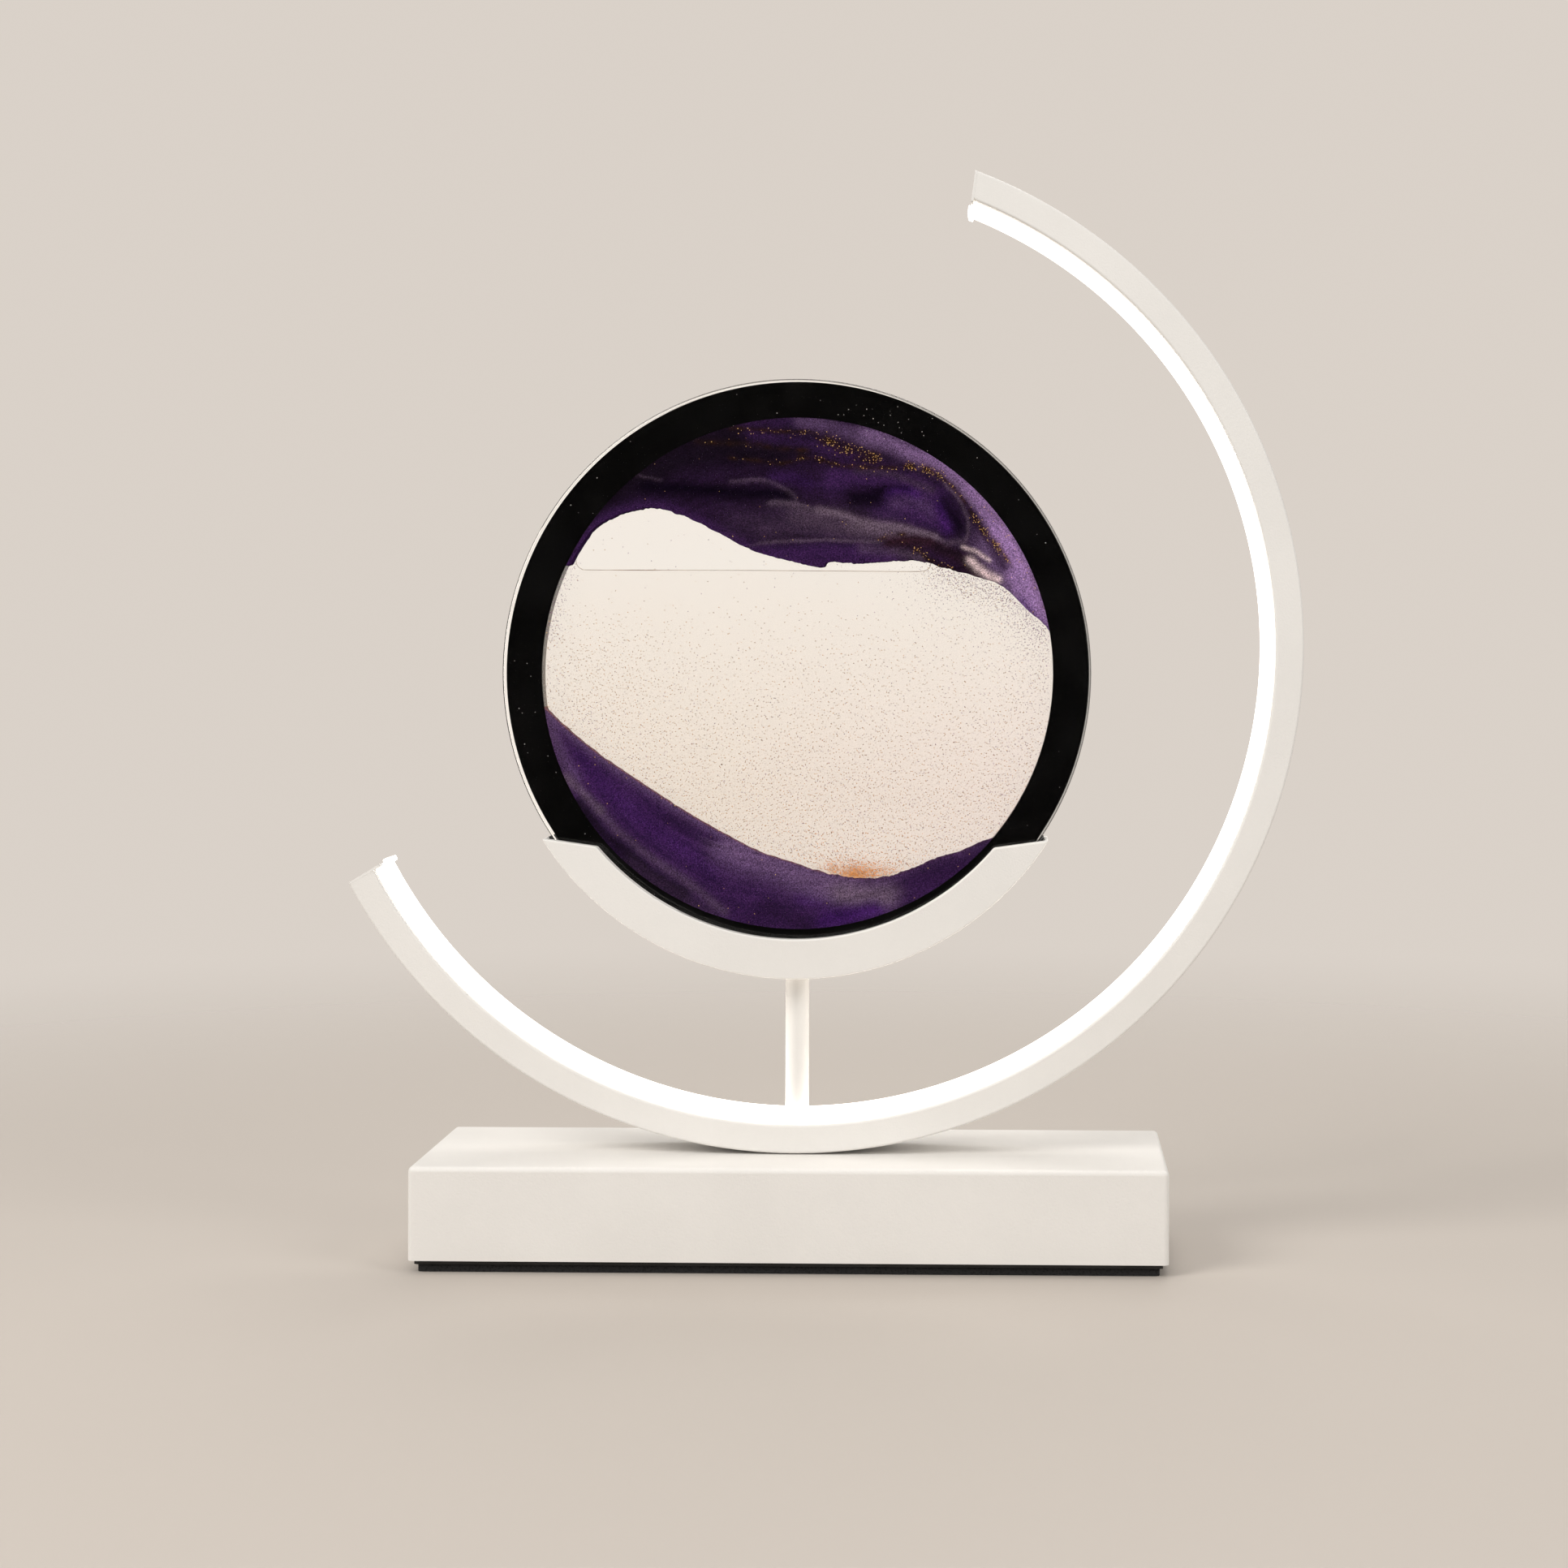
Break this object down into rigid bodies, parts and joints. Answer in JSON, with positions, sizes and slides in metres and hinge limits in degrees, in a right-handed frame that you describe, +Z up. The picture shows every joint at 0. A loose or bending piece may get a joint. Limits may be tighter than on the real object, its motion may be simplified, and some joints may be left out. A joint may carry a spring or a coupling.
{
  "type": "table lamp",
  "caption": "Accent table lamp: a glowing open arc on a flat box base, with a round glass disc of coloured sand that turns in a curved cradle on a post.",
  "frame": {"origin": "middle of the foot pad's underside, where the lamp rests", "axes": "+Z up, front towards -Y, the arc's open side towards -X"},
  "size_m": [0.2902, 0.0727, 0.3302],
  "materials": {
    "white_paint": "white powder coat with a fine orange-peel texture",
    "black_steel": "black painted steel, satin",
    "foam": "black closed-cell foam, matt",
    "zinc": "bright zinc plate",
    "cast_steel": "rough dark steel",
    "board": "green lacquered circuit board",
    "component": "black moulded component",
    "socket_black": "black moulded plastic",
    "nylon": "natural nylon",
    "diffuser": "opal white silicone, lit from behind",
    "strip_flex": "white flexible light strip",
    "wire_red": "red wire insulation",
    "wire_white": "white wire insulation",
    "felt": "thin black felt",
    "clear_glass": "clear polished glass",
    "black_enamel": "deep gloss black",
    "liquid": "clear liquid with fine floating grains",
    "sand": "fine purple sand with lavender veils and gold grains",
    "rubber": "black rubber"
  },
  "bodies": {
    "lamp": {"base_cover": "white_paint", "bottom_plate": "black_steel", "foot_pad": "foam", "cover_standoff_1": "zinc", "cover_standoff_2": "zinc", "cover_standoff_3": "zinc", "cover_standoff_4": "zinc", "bottom_plate_screw_1": "black_steel", "bottom_plate_screw_2": "black_steel", "bottom_plate_screw_3": "black_steel", "bottom_plate_screw_4": "black_steel", "ballast_block": "cast_steel", "ballast_screw_1": "black_steel", "ballast_screw_2": "black_steel", "driver_board": "board", "board_spacer_1": "nylon", "board_spacer_2": "nylon", "strip_connector": "nylon", "inlet_connector": "nylon", "board_coil": "component", "board_capacitor": "component", "board_chip": "component", "power_inlet": "socket_black", "inlet_tab_1": "zinc", "inlet_tab_2": "zinc", "inlet_nut": "zinc", "inlet_wire_1": "wire_red", "inlet_wire_2": "wire_red", "strip_wire_1": "wire_white", "strip_wire_2": "wire_white", "strip_jumper_1": "wire_white", "strip_jumper_2": "wire_white", "wire_bush": "rubber", "arc_channel": "white_paint", "arc_end_plate_lower": "white_paint", "arc_end_plate_upper": "white_paint", "arc_screw_1": "zinc", "arc_screw_2": "zinc", "led_strip_long": "strip_flex", "led_strip_short": "strip_flex", "arc_diffuser": "diffuser", "diffuser_plug_lower": "diffuser", "diffuser_plug_upper": "diffuser", "post": "white_paint", "post_washer": "zinc", "post_nut": "zinc", "cradle": "white_paint", "cradle_screw": "zinc", "cradle_felt": "felt"},
    "sand_disc": {"disc_front_glass": "clear_glass", "disc_back_glass": "clear_glass", "disc_ring": "black_enamel", "disc_fill_plug": "rubber", "sand_upper": "sand", "sand_lower": "sand", "disc_liquid": "liquid"}
  },
  "joints": [
    {"name": "disc_turn", "type": "hinge", "parent": "lamp", "child": "sand_disc", "pos_m": [0, 0, 0.1774], "axis": [0, 1, 0], "continuous": true}
  ]
}
